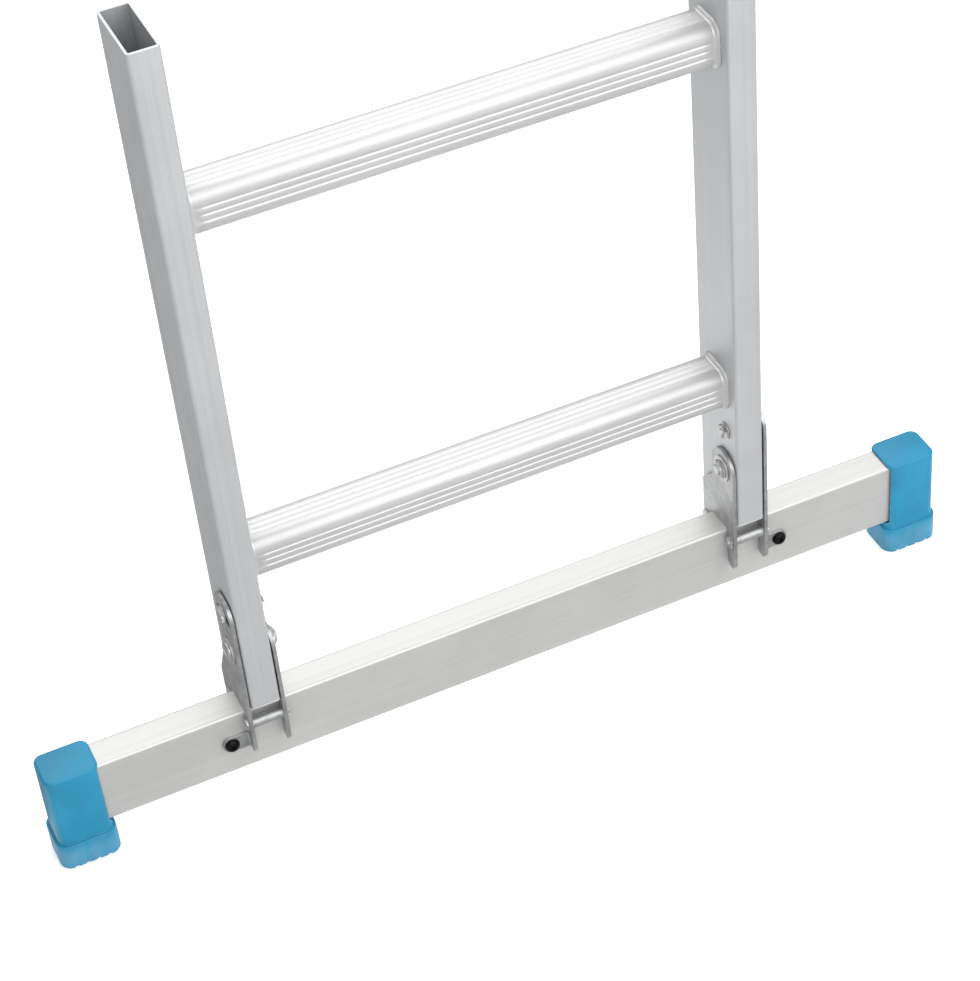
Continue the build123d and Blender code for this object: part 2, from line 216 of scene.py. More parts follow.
def extruded_aluminium(name, colour, drawn):
    """Mill-finish aluminium with die lines along the drawn axis, dull clouds, scratches and rubbed edges."""
    finish = Finish(name)
    lines = [2.0 if axis == drawn else 1400.0 for axis in "XYZ"]
    bands = [1.0 if axis == drawn else 190.0 for axis in "XYZ"]
    fine = finish.noise(lines, detail=3.0)
    band = finish.noise(bands)
    cloud = finish.noise(16.0, detail=4.0, roughness=0.6)
    scratch = finish.scratches(0.6) + finish.scratches(-0.9)
    rubbed = finish.edges(1.2 * MM)
    shade = (fine * 0.35 + band * 0.3 + cloud * 0.35).clamp()
    metal = finish.tint(finish.step(shade, 0.3, 0.7), rgba(colour, 0.90), rgba(colour, 1.05))
    worn = (0.3 * scratch + 0.5 * rubbed).clamp()
    return finish.surface(
        bump=(fine * 0.5 + band * 0.5 - 0.5 * scratch, 0.06 * MM),
        edge=0.7 * MM,
        Base_Color=finish.tint(worn, metal, rgba(colour, 1.25)),
        Metallic=0.6,
        Roughness=(0.40 + 0.14 * cloud + 0.06 * band - 0.08 * rubbed).clamp(),
    )


def zinc_plate(name, colour, roughness):
    """Plated metal with a mottled passivation and bright rubbed edges."""
    finish = Finish(name)
    mottle = finish.noise(90.0, detail=3.0, roughness=0.6)
    spot = finish.noise(400.0)
    grain = finish.noise(900.0)
    rubbed = finish.edges(0.7 * MM)
    patches = finish.step(0.7 * mottle + 0.3 * spot, 0.38, 0.62)
    plate = finish.tint(patches, rgba(colour, 0.80), rgba(colour, 1.08))
    return finish.surface(
        bump=(grain, 0.03 * MM),
        edge=0.4 * MM,
        Base_Color=finish.tint(0.6 * rubbed, plate, rgba(colour, 1.35)),
        Metallic=0.9,
        Roughness=(roughness + 0.16 * (mottle - 0.5) - 0.08 * rubbed).clamp(),
    )


def moulded_plastic(name, colour, roughness):
    """Injection-moulded plastic with a spark grain, uneven gloss, scuffed edges, and dust with painted light
    near the floor.
    """
    finish = Finish(name)
    grain = finish.noise(1300.0)
    cloud = finish.noise(40.0, detail=3.0)
    height = finish.node("SeparateXYZ", {"Vector": finish.place((1.0, 1.0, 1.0))}, "Z")
    cover = finish.step(finish.noise((120.0, 120.0, 60.0), detail=4.0, roughness=0.7), 0.40, 0.72)
    # Dust and painted light: the plastic turns greyer and lighter towards the floor, which paints the light
    # that a sole tilted upwards would catch.
    dust_and_painted_light = finish.step(height, 24.0 * MM, 12.0 * MM) * (0.4 + 0.6 * cover)
    scuff = finish.edges(1.2 * MM) * finish.step(finish.noise(220.0, detail=3.0), 0.40, 0.62)
    skin = finish.tint(finish.step(cloud, 0.3, 0.7), rgba(colour, 0.9), rgba(colour, 1.08))
    scuffed = finish.tint(0.35 * scuff, skin, SCUFF_COLOUR)
    return finish.surface(
        bump=(grain, 0.05 * MM),
        edge=0.6 * MM,
        Base_Color=finish.tint(0.13 * dust_and_painted_light, scuffed, DUST_AND_PAINTED_LIGHT_COLOUR),
        Specular_IOR_Level=0.42,
        Roughness=(roughness + 0.15 * (cloud - 0.5) + 0.2 * dust_and_painted_light + 0.15 * scuff).clamp(),
    )


def paint(piece, material):
    """Give a piece a material in place of its own."""
    piece.data.materials.clear()
    piece.data.materials.append(material)


def dress(material, *names):
    """Give CAD nodes a finish."""
    for name in names:
        paint(NODES[name], material)


def alone(piece):
    """Make a piece the only selected object."""
    bpy.ops.object.select_all(action="DESELECT")
    piece.select_set(True)
    bpy.context.view_layer.objects.active = piece


def remove(piece):
    """Delete a piece."""
    alone(piece)
    bpy.ops.object.delete()


def settle(name):
    """Name the active object and move its place into its mesh."""
    piece = bpy.context.object
    piece.name = name
    bpy.ops.object.transform_apply(location=True, rotation=True, scale=True)
    return piece


def block(name, low, high):
    """Box between two corners."""
    low, high = Vector(low), Vector(high)
    bpy.ops.object.select_all(action="DESELECT")
    bpy.ops.mesh.primitive_cube_add(size=1.0, location=(low + high) / 2, scale=high - low)
    return settle(name)


def disc(name, radius, start, end, corners=SHANK_CORNERS):
    """Round or many-sided bar along X between two distances."""
    bpy.ops.object.select_all(action="DESELECT")
    bpy.ops.mesh.primitive_cylinder_add(
        vertices=corners, radius=radius, depth=end - start,
        location=((start + end) / 2, 0.0, 0.0), rotation=(0.0, pi / 2, 0.0),
    )
    return settle(name)


@contextmanager
def edit(piece):
    """Edit mode on one piece."""
    alone(piece)
    bpy.ops.object.mode_set(mode="EDIT")
    yield
    bpy.ops.object.mode_set(mode="OBJECT")


def pick(kind, test):
    """Select the faces or edges of the piece in edit mode that pass a test."""
    bpy.ops.mesh.select_mode(type=kind)
    bpy.ops.mesh.select_all(action="DESELECT")
    mesh = bmesh.from_edit_mesh(bpy.context.edit_object.data)
    for item in mesh.faces if kind == "FACE" else mesh.edges:
        item.select_set(test(item))
    bmesh.update_edit_mesh(bpy.context.edit_object.data)


def along(axis):
    """Test for edges that run along an axis."""
    def test(edge):
        run = edge.verts[1].co - edge.verts[0].co
        return abs(run[axis]) > SAME_WAY * run.length
    return test


def level(axis, value):
    """Test for edges that lie at one value of an axis."""
    def test(edge):
        return all(abs(point.co[axis] - value) < SAME_PLACE for point in edge.verts)
    return test


def crease(axis, value):
    """Test for edges at one value of an axis where the surface turns."""
    flat = level(axis, value)
    return lambda edge: flat(edge) and edge.calc_face_angle(0.0) > radians(30)


def facing(axis, sign):
    """Test for faces that look along an axis."""
    return lambda face: sign * face.normal[axis] > SAME_WAY


def bevel(test, offset, segments):
    """Round the edges of the piece in edit mode that pass a test."""
    pick("EDGE", test)
    bpy.ops.mesh.bevel(offset=offset, segments=segments, affect="EDGES")


def draw_out(value):
    """Extrude the picked faces of the piece in edit mode."""
    bpy.ops.mesh.extrude_region_move(TRANSFORM_OT_translate={"value": value})


def apply(piece, kind, **settings):
    """Add a modifier and apply it at once."""
    alone(piece)
    modifier = piece.modifiers.new(kind.lower(), kind)
    for key, value in settings.items():
        setattr(modifier, key, value)
    bpy.ops.object.modifier_apply(modifier=modifier.name)


def carve(piece, tool, operation="DIFFERENCE"):
    """Cut a piece with a tool, or combine the two, and use up the tool."""
    apply(piece, "BOOLEAN", object=tool, operation=operation, solver="EXACT")
    remove(tool)


def smooth(piece):
    """Shade a piece smooth up to the edges that are sharp."""
    alone(piece)
    bpy.ops.object.shade_smooth_by_angle(angle=SMOOTH_ANGLE)


def soften(piece, width, angle=30.0):
    """Round every edge that is sharper than an angle, and shade the piece smooth."""
    apply(piece, "BEVEL", width=width, segments=2, limit_method="ANGLE", angle_limit=radians(angle))
    smooth(piece)


def copy(piece, shift=(0.0, 0.0, 0.0), turn=None, mirror=False):
    """Copy of a piece with its own mesh, turned or mirrored in X about the origin and then moved."""
    alone(piece)
    bpy.ops.object.duplicate(linked=False)
    twin = bpy.context.object
    flip = Matrix.Diagonal((-1.0 if mirror else 1.0, 1.0, 1.0, 1.0))
    twin.matrix_world = Matrix.Translation(shift) @ (turn or Matrix()) @ flip
    bpy.ops.object.transform_apply(location=True, rotation=True, scale=True)
    if mirror:
        with edit(twin):
            bpy.ops.mesh.select_all(action="SELECT")
            bpy.ops.mesh.normals_make_consistent(inside=False)
    return twin


def join(name, pieces):
    """One piece from several."""
    bpy.ops.object.select_all(action="DESELECT")
    for piece in pieces:
        piece.select_set(True)
    bpy.context.view_layer.objects.active = pieces[0]
    bpy.ops.object.join()
    pieces[0].name = name
    return pieces[0]


def ring(name, radius, bore, thickness):
    """Washer or collar along X with rounded edges, standing on the origin."""
    piece = disc(name, radius, 0.0, thickness, RIM_CORNERS)
    carve(piece, disc("bore", bore, -PAST, thickness + PAST))
    soften(piece, NUT_EDGE)
    return piece


def hexagon(name, flats, height):
    """Hexagon along X, standing on the origin, its outer corners turned off at 30 degrees."""
    piece = disc(name, flats / sqrt(3), 0.0, height, HEXAGON)
    piece.rotation_euler.x = pi / 6
    bpy.ops.object.transform_apply(rotation=True)
    crown = 0.48 * flats
    bpy.ops.object.select_all(action="DESELECT")
    bpy.ops.mesh.primitive_cone_add(
        vertices=CONE_CORNERS, radius1=crown + height / tan(radians(30)), radius2=crown, depth=height,
        location=(height / 2, 0.0, 0.0), rotation=(0.0, pi / 2, 0.0),
    )
    carve(piece, settle("crown"), "INTERSECT")
    return piece


def hexagon_nut(name, flats, height, bore):
    """Plain nut."""
    piece = hexagon(name, flats, height)
    carve(piece, disc("hole", bore, -PAST, height + PAST))
    soften(piece, NUT_EDGE)
    return piece


def add_shank(piece, radius, length):
    """Shank behind a bolt's head, with a bevelled tip."""
    root, tip = 0.3 * MM, 0.15 * radius
    shank = disc("shank", radius, -length, root)
    with edit(shank):
        bevel(level(X, -length), tip, segments=2)
    carve(piece, shank, "UNION")


def hexagon_bolt(name, flats, height, shank, length):
    """Bolt with a hexagon head, its head's seat on the origin."""
    piece = hexagon(name, flats, height)
    add_shank(piece, shank, length)
    soften(piece, BOLT_EDGE)
    return piece


def domed_bolt(name, radius, height, socket, shank, length):
    """Bolt with a low domed head and a hexagon socket, its head's seat on the origin."""
    dome, socket_floor = 0.8 * height, 0.45 * height
    piece = disc(name, radius, 0.0, height, RIM_CORNERS)
    with edit(piece):
        bevel(level(X, height), dome, segments=7)
    add_shank(piece, shank, length)
    carve(piece, disc("key", socket / sqrt(3), socket_floor, height + PAST, HEXAGON))
    soften(piece, BOLT_EDGE, 40.0)
    return piece


def lock_nut(name, flats, height, bore, insert):
    """Nut with a rolled collar that holds a nylon insert."""
    collar_radius, collar_round, shoulder = 0.45 * flats, 0.22 * height, 0.68 * height
    piece = hexagon(name, flats, shoulder)
    collar = disc("collar", collar_radius, 0.0, height, RIM_CORNERS)
    with edit(collar):
        bevel(level(X, height), collar_round, segments=4)
    carve(piece, collar, "UNION")
    carve(piece, disc("seat", insert, INSERT_START * height, height + PAST))
    carve(piece, disc("hole", bore, -PAST, height + PAST))
    soften(piece, BOLT_EDGE)
    return piece


def spread(piece, distance, centre, outwards):
    """Left and right copies of a piece that looks away from the middle or towards it."""
    return [copy(piece, (side * distance, *centre), mirror=(side > 0) != outwards) for side in SIDES]


def on_bar(piece, bracket, depth, turn):
    """Left and right copies of a piece at the bar screws, turned to the front or to the back."""
    return [copy(piece, (side * bracket.screw_x, depth, bracket.screw_z), turn) for side in SIDES]


def fit_out(piece, material, body, slot, *nodes):
    """Finish a new piece: material, body and the CAD nodes that it stands for. The slot is not used."""
    paint(piece, material)
    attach(piece, body)
    if nodes:
        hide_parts(*nodes)


def assemble(name, pattern, pieces, material, body, slot, *nodes):
    """Join the copies of a pattern into one piece, and delete the pattern."""
    remove(pattern)
    fit_out(join(name, pieces), material, body, slot, *nodes)


class Bracket:
    """Places in the right-hand bracket where the hardware sits, read from the CAD nodes."""

    def __init__(self, sizes):
        low, high, _ = box_of("right_inner_cheek")
        self.inner = low.x
        self.outer = box_of("right_outer_cheek")[0].x + high.x - low.x
        self.stile = box_of("right_stile")[0].x
        self.pivot = box_of("right_pivot_bush")[2].yz
        self.stop = box_of("stop_sleeves")[2].yz
        low, high, _ = box_of("leg_spacers")
        around = sizes.spacer_radius
        self.legs = ((low.y + around, high.z - around), (high.y - around, low.z + around))
        _, high, middle = box_of("bar_sleeves")
        self.screw_x = high.x - sizes.sleeve_radius
        self.screw_z = middle.z
        self.bar_back = box_of("stabiliser_bar")[1].y
        self.ear_front = box_of("bar_screws")[0].y + sizes.screw_head[1]


def tone(name, description, *shares):
    """Colour that shows in the panel."""
    return FloatVectorProperty(name=name, description=description, subtype="COLOR", default=shares)


class FinishSettings(bpy.types.PropertyGroup):
    """Colours of the finishes."""

    stile_colour: tone("Stile", "Aluminium of the stiles", 0.53, 0.542, 0.552)
    rung_colour: tone("Rung", "Aluminium of the rungs", 0.56, 0.56, 0.56)
    bar_colour: tone("Bar", "Aluminium of the stabiliser bar", 0.565, 0.565, 0.552)
    cheek_colour: tone("Cheek", "Plated steel of the cheeks and sleeves", 0.44, 0.445, 0.45)
    zinc_colour: tone("Zinc", "Plating of bolts, nuts and washers", 0.55, 0.55, 0.54)
    black_colour: tone("Black", "Oxide on the bar screws", 0.012, 0.012, 0.013)
    bush_colour: tone("Bush", "Bronze of the pivot bushes", 0.50, 0.33, 0.14)
    foot_colour: tone("Foot", "Plastic of the feet", 0.004, 0.203, 0.352)
    plug_colour: tone("Plug", "Plastic of the stile plugs", 0.36, 0.37, 0.38)
    friction_colour: tone("Friction washer", "Nylon of the friction washers", 0.72, 0.70, 0.62)
    insert_colour: tone("Insert", "Nylon in the lock nuts", 0.60, 0.62, 0.62)


def size(name, description, millimetres):
    """Length that shows in the panel."""
    return FloatProperty(name=name, description=description, default=millimetres * MM, unit="LENGTH")


def pair(name, description, first, second):
    """Two lengths that show in the panel."""
    return FloatVectorProperty(
        name=name, description=description, size=2, default=(first * MM, second * MM), unit="LENGTH")


class SizeSettings(bpy.types.PropertyGroup):
    """Sizes of the modelled pieces."""

    rung_corner: size("Rung corner", "Radius of a rung's long edges", 8.5)
    flare_height: size("Flare height", "How far a rung's flared end stands out", 2.0)
    flare_width: size("Flare width", "Length of a rung's flared end", 4.5)
    flute_radius: size("Flute radius", "Radius of a rung's grooves", 1.1)
    flute_depth: size("Flute depth", "Depth of a rung's grooves", 0.6)
    flute_fade: size("Flute fade", "Length over which a rung's groove runs out", 7.0)
    flute_spacing: size("Flute spacing", "Distance between a rung's grooves", 5.0)
    sole_thickness: size("Sole thickness", "Height of a foot's sole", 22.0)
    sole_corner: size("Sole corner", "Radius of a sole's upright edges", 9.0)
    sole_rim: size("Sole rim", "How far a sole stands out from its collar", 2.2)
    sole_round: size("Sole round", "Radius of a sole's lower edge", 1.0)
    foot_draft: FloatProperty(name="Draft", description="Narrowing of a foot towards its top", default=0.012)
    foot_round: size("Foot round", "Radius of a foot's top edge", 2.0)
    ledge_round: size("Ledge round", "Radius of a sole's ledge", 0.9)
    bar_corner: size("Bar corner", "Radius of the bar's long edges", 2.6)
    socket_play: size("Socket play", "Gap between the bar and a foot's socket", 0.25)
    mouth_lead: pair("Mouth lead", "Widening of a foot's mouth at the bar's sides and edges", 2.6, 1.3)
    mouth_depth: size("Mouth depth", "Length of the widened mouth", 9.0)
    groove_spacing: size("Groove spacing", "Distance between a sole's grooves", 8.0)
    groove_width: size("Groove width", "Width of a sole's grooves", 3.0)
    groove_depth: size("Groove depth", "Depth of a sole's grooves", 1.8)
    pivot_washer: pair("Pivot washer", "Radius and thickness", 10.0, 1.2)
    stop_washer: pair("Stop washer", "Radius and thickness", 6.5, 1.0)
    bar_washer: pair("Bar washer", "Radius and thickness", 6.5, 1.6)
    pivot_nut: pair("Pivot nut", "Width across flats and height", 13.0, 3.2)
    stop_nut: pair("Stop nut", "Width across flats and height", 10.0, 2.6)
    leg_nut: pair("Leg nut", "Width across flats and height", 8.0, 2.2)
    bar_nut: pair("Bar nut", "Width across flats and height", 10.0, 5.5)
    pivot_head: pair("Pivot bolt head", "Radius and height", 7.0, 2.8)
    stop_head: pair("Stop bolt head", "Width across flats and height", 10.0, 2.2)
    leg_head: pair("Leg bolt head", "Width across flats and height", 8.0, 1.8)
    screw_head: pair("Bar screw head", "Radius and height", 5.2, 3.2)
    pivot_shank: size("Pivot shank", "Radius of a pivot bolt", 4.0)
    stop_shank: size("Stop shank", "Radius of a stop bolt", 3.0)
    leg_shank: size("Leg shank", "Radius of a leg bolt", 2.5)
    screw_shank: size("Screw shank", "Radius of a bar screw", 3.0)
    pivot_socket: size("Pivot socket", "Key width of a pivot bolt", 5.0)
    screw_socket: size("Screw socket", "Key width of a bar screw", 3.6)
    spacer_radius: size("Spacer radius", "Radius of a leg spacer", 4.0)
    sleeve_radius: size("Sleeve radius", "Radius of a bar sleeve", 5.0)
    insert_width: size("Insert width", "Width of a lock nut's nylon insert", 1.2)
    hole_gap: size("Hole gap", "Play of a bolt in a washer", 0.2)
    thread_gap: size("Thread gap", "Play of a bolt in a nut", 0.05)
    thread_end: size("Thread end", "How far a bolt stands out of its nut", 0.8)


class StageSettings(bpy.types.PropertyGroup):
    """Camera, floor and sky."""

    camera_place: FloatVectorProperty(
        name="Camera", description="Where the camera stands", subtype="TRANSLATION", unit="LENGTH",
        default=(-0.49658, -1.31474, 1.42929))
    camera_ahead: FloatVectorProperty(
        name="Ahead", description="Direction in which the camera looks", subtype="DIRECTION",
        default=(0.26467, 0.69972, -0.66358))
    camera_up: FloatVectorProperty(
        name="Up", description="Direction that is up in the picture", subtype="DIRECTION",
        default=(0.32887, 0.58138, 0.74421))
    lens: FloatProperty(
        name="Lens", description="Focal length on a 36 mm wide sensor, in millimetres", default=100.8)
    floor_size: size("Floor size", "Side of the floor", 30000.0)
    floor_glow: FloatProperty(name="Floor glow", description="Light that the floor gives off", default=0.28)
    sky_light: FloatProperty(name="Sky light", description="Light of the upper sky", default=0.41)
    haze_light: FloatProperty(
        name="Haze light", description="Light that the sky gains at the horizon", default=0.25)


class LADDERFOOT_OT_extrusions(bpy.types.Operator):
    """Dress the stiles and the stabiliser bar"""

    bl_idname = "ladderfoot.extrusions"
    bl_label = "Extrusions"

    def execute(self, context):
        colours = context.scene.ladder_foot_finish
        dress(extruded_aluminium("drawn_stile", colours.stile_colour, "Z"), "left_stile", "right_stile")
        dress(extruded_aluminium("drawn_bar", colours.bar_colour, "X"), "stabiliser_bar")
        return {"FINISHED"}


class LADDERFOOT_OT_rungs(bpy.types.Operator):
    """Model the ribbed rungs with their flared ends"""

    bl_idname = "ladderfoot.rungs"
    bl_label = "Rungs"
    # Profile of a flared end: shares of its length, and of its height above the rung's flat sides.
    FLARE = ((0.0, -0.4), (0.25, 0.03), (0.45, 0.34), (0.6, 0.68), (0.75, 0.92), (0.88, 1.0), (1.0, 0.94))
    # Places of the grooves on a side, in spacings from its middle.
    FLUTES = (-1, 0, 1)
    # Width of a groove's tip, as a share of the groove's own.
    FLUTE_TIP = 0.1

    def execute(self, context):
        colours = context.scene.ladder_foot_finish
        sizes = context.scene.ladder_foot_sizes
        low, high, middle = box_of("lower_rung")
        reach = box_of("right_stile")[0].x
        half = (high.z - low.z) / 2 - sizes.flare_height
        start = reach - sizes.flare_width
        rung = block(
            "rung", (low.x, middle.y - half, middle.z - half), (high.x, middle.y + half, middle.z + half))
        with edit(rung):
            bevel(along(X), sizes.rung_corner, segments=8)
        carve(rung, self.grooves(sizes, middle, half, start))
        soften(rung, RUNG_EDGE)
        flare = self.flare(sizes, middle, half, start)
        lower = join("lower_fluted_rung", [rung, flare, copy(flare, mirror=True)])
        upper = copy(lower, box_of("upper_rung")[2] - middle)
        upper.name = "upper_fluted_rung"
        finish = extruded_aluminium("drawn_rung", colours.rung_colour, "X")
        fit_out(lower, finish, "ladder", "rung_aluminium", "lower_rung")
        fit_out(upper, finish, "ladder", "rung_aluminium", "upper_rung")
        return {"FINISHED"}

    def grooves(self, sizes, middle, half, start):
        """Tool that cuts the grooves on three sides, with ends that run out."""
        full = start - sizes.flute_fade
        groove = disc("groove", sizes.flute_radius, -full, full, FLUTE_CORNERS)
        with edit(groove):
            for side in SIDES:
                pick("FACE", facing(X, side))
                draw_out((side * sizes.flute_fade, 0.0, 0.0))
                bpy.ops.transform.resize(
                    value=(1.0, self.FLUTE_TIP, self.FLUTE_TIP), center_override=(side * start, 0.0, 0.0))
        grooves = []
        lift = half + sizes.flute_radius - sizes.flute_depth
        for step in self.FLUTES:
            aside = step * sizes.flute_spacing
            for place in ((aside, lift), (lift, aside), (-lift, aside)):
                grooves.append(copy(groove, (0.0, middle.y + place[0], middle.z + place[1])))
        remove(groove)
        return join("grooves", grooves)

    def flare(self, sizes, middle, half, start):
        """Flared right-hand end, widened in steps from inside the rung."""
        root = start - MM
        width = half + self.FLARE[0][1] * sizes.flare_height
        flare = block(
            "flare", (root, middle.y - width, middle.z - width), (start, middle.y + width, middle.z + width))
        with edit(flare):
            bevel(along(X), sizes.rung_corner, segments=10)
            pick("FACE", facing(X, 1))
            reached = start
            for share, rise in self.FLARE[1:]:
                draw_out((start + share * sizes.flare_width - reached, 0.0, 0.0))
                reached, wider = start + share * sizes.flare_width, half + rise * sizes.flare_height
                bpy.ops.transform.resize(
                    value=(1.0, wider / width, wider / width), center_override=(reached, middle.y, middle.z))
                width = wider
        smooth(flare)
        return flare


class LADDERFOOT_OT_feet(bpy.types.Operator):
    """Model the moulded feet and dress the stile plugs"""

    bl_idname = "ladderfoot.feet"
    bl_label = "Feet and plugs"
    # Places of a sole's grooves, in spacings from its middle.
    GROOVES = (-1.5, -0.5, 0.5, 1.5)

    def execute(self, context):
        colours = context.scene.ladder_foot_finish
        sizes = context.scene.ladder_foot_sizes
        foot = self.shell(sizes)
        carve(foot, self.socket(sizes))
        carve(foot, self.mouth(sizes))
        low, high, middle = box_of("right_foot")
        wide = sizes.groove_width / 2
        for step in self.GROOVES:
            at = middle.x + step * sizes.groove_spacing
            carve(foot, block("groove", (at - wide, low.y - PAST, low.z - PAST),
                              (at + wide, high.y + PAST, low.z + sizes.groove_depth)))
        smooth(foot)
        twin = copy(foot, mirror=True)
        twin.name = "left_moulded_foot"
        plastic = moulded_plastic("blue_plastic", colours.foot_colour, roughness=0.42)
        fit_out(foot, plastic, "stabiliser", "foot_plastic", "right_foot")
        fit_out(twin, plastic, "stabiliser", "foot_plastic", "left_foot")
        plug = moulded_plastic("grey_plastic", colours.plug_colour, roughness=0.5)
        dress(plug, "left_stile_plug", "right_stile_plug")
        return {"FINISHED"}

    def shell(self, sizes):
        """Right foot without its socket: a sole, and a collar that narrows upwards."""
        low, high, middle = box_of("right_foot")
        foot = block("right_moulded_foot", low, (high.x, high.y, sizes.sole_thickness))
        with edit(foot):
            bevel(along(Z), sizes.sole_corner, segments=9)
            pick("FACE", facing(Z, 1))
            bpy.ops.mesh.inset(thickness=sizes.sole_rim, depth=0.0)
            draw_out((0.0, 0.0, high.z - sizes.sole_thickness))
            draft = 1.0 - sizes.foot_draft
            bpy.ops.transform.resize(value=(draft, draft, 1.0), center_override=(middle.x, middle.y, high.z))
            bevel(level(Z, high.z), sizes.foot_round, segments=6)
            bevel(crease(Z, sizes.sole_thickness), sizes.ledge_round, segments=4)
            bevel(level(Z, low.z), sizes.sole_round, segments=3)
        return foot

    def socket(self, sizes):
        """Tool that cuts the room for the bar."""
        near = box_of("right_foot")[0].x - 5.0 * PAST
        bar_low, bar_high, _ = box_of("stabiliser_bar")
        play = Vector((0.0, sizes.socket_play, sizes.socket_play))
        socket = block("socket", Vector((near, *bar_low.yz)) - play, bar_high + play)
        with edit(socket):
            bevel(along(X), sizes.bar_corner, segments=4)
        return socket

    def mouth(self, sizes):
        """Tool that widens the socket where the bar goes in."""
        bar_low, bar_high, bar_middle = box_of("stabiliser_bar")
        lead = Vector((0.0, sizes.mouth_lead[0], sizes.mouth_lead[1]))
        near = box_of("right_foot")[0].x + sizes.sole_rim
        mouth = block(
            "mouth", Vector((near - 0.5 * PAST, *bar_low.yz)) - lead,
            Vector((near + sizes.mouth_depth, *bar_high.yz)) + lead)
        with edit(mouth):
            bevel(along(X), sizes.bar_corner + lead.z, segments=6)
            pick("FACE", facing(X, 1))
            span = bar_high - bar_low
            bpy.ops.transform.resize(
                value=(1.0, span.y / (span.y + 2.0 * lead.y), span.z / (span.z + 2.0 * lead.z)),
                center_override=bar_middle)
        return mouth


class LADDERFOOT_OT_brackets(bpy.types.Operator):
    """Dress the cheeks and the pieces inside them"""

    bl_idname = "ladderfoot.brackets"
    bl_label = "Brackets"

    def execute(self, context):
        colours = context.scene.ladder_foot_finish
        cheek = zinc_plate("cheek_zinc", colours.cheek_colour, roughness=0.46)
        dress(cheek, "left_outer_cheek", "right_outer_cheek", "left_inner_cheek", "right_inner_cheek")
        sleeve = zinc_plate("sleeve_zinc", colours.cheek_colour, roughness=0.5)
        dress(sleeve, "leg_spacers", "bar_sleeves", "stop_sleeves")
        nylon = moulded_plastic("natural_nylon", colours.friction_colour, roughness=0.45)
        dress(nylon, "friction_washers")
        bronze = zinc_plate("bearing_bronze", colours.bush_colour, roughness=0.35)
        dress(bronze, "left_pivot_bush", "right_pivot_bush")
        return {"FINISHED"}


class LADDERFOOT_OT_washers(bpy.types.Operator):
    """Model the washers of the pivots, stops and bar screws"""

    bl_idname = "ladderfoot.washers"
    bl_label = "Washers"

    def execute(self, context):
        sizes = context.scene.ladder_foot_sizes
        zinc = zinc_plate("washer_zinc", context.scene.ladder_foot_finish.zinc_colour, roughness=0.46)
        at = Bracket(sizes)
        radius, thickness = sizes.pivot_washer
        washer = ring("washer", radius, sizes.pivot_shank + sizes.hole_gap, thickness)
        pieces = spread(washer, at.outer, at.pivot, True) + spread(washer, at.inner, at.pivot, False)
        assemble("pressed_pivot_washers", washer, pieces, zinc, "stabiliser", "zinc_steel", "pivot_washers")
        radius, thickness = sizes.stop_washer
        washer = ring("washer", radius, sizes.stop_shank + sizes.hole_gap, thickness)
        outer_seat = box_of("stop_washers")[1].x - thickness
        pieces = spread(washer, outer_seat, at.stop, True) + spread(washer, at.stile, at.stop, False)
        assemble("pressed_stop_washers", washer, pieces, zinc, "ladder", "zinc_steel", "stop_washers")
        radius, thickness = sizes.bar_washer
        washer = ring("washer", radius, sizes.screw_shank + sizes.hole_gap, thickness)
        pieces = on_bar(washer, at, at.bar_back, BACKWARDS)
        assemble("pressed_bar_washers", washer, pieces, zinc, "stabiliser", "zinc_steel", "bar_washers")
        return {"FINISHED"}


class LADDERFOOT_OT_nuts(bpy.types.Operator):
    """Model the lock nuts of the pivots and the plain nuts"""

    bl_idname = "ladderfoot.nuts"
    bl_label = "Nuts"

    def execute(self, context):
        colours = context.scene.ladder_foot_finish
        sizes = context.scene.ladder_foot_sizes
        zinc = zinc_plate("nut_zinc", colours.zinc_colour, roughness=0.44)
        nylon = moulded_plastic("insert_nylon", colours.insert_colour, roughness=0.45)
        at = Bracket(sizes)
        flats, height = sizes.pivot_nut
        seat = at.inner - sizes.pivot_washer[1]
        bore = sizes.pivot_shank + sizes.thread_gap
        insert = sizes.pivot_shank + sizes.insert_width
        nut = lock_nut("nut", flats, height, bore, insert)
        assemble("chamfered_pivot_nuts", nut, spread(nut, seat, at.pivot, False),
                 zinc, "stabiliser", "zinc_steel", "pivot_lock_nuts")
        collar = ring("collar", insert, bore, INSERT_HEIGHT * height)
        assemble("pivot_nut_inserts", collar, spread(collar, seat - INSERT_START * height, at.pivot, False),
                 nylon, "stabiliser", "nylon")
        flats, height = sizes.stop_nut
        nut = hexagon_nut("nut", flats, height, sizes.stop_shank + sizes.thread_gap)
        assemble("chamfered_stop_nuts", nut, spread(nut, at.stile - sizes.stop_washer[1], at.stop, False),
                 zinc, "ladder", "zinc_steel", "stop_nuts")
        flats, height = sizes.leg_nut
        nut = hexagon_nut("nut", flats, height, sizes.leg_shank + sizes.thread_gap)
        pieces = [piece for leg in at.legs for piece in spread(nut, at.inner, leg, False)]
        assemble("chamfered_leg_nuts", nut, pieces, zinc, "stabiliser", "zinc_steel", "leg_nuts")
        flats, height = sizes.bar_nut
        nut = hexagon_nut("nut", flats, height, sizes.screw_shank + sizes.thread_gap)
        pieces = on_bar(nut, at, at.bar_back + sizes.bar_washer[1], BACKWARDS)
        assemble("chamfered_bar_nuts", nut, pieces, zinc, "stabiliser", "zinc_steel", "bar_nuts")
        return {"FINISHED"}


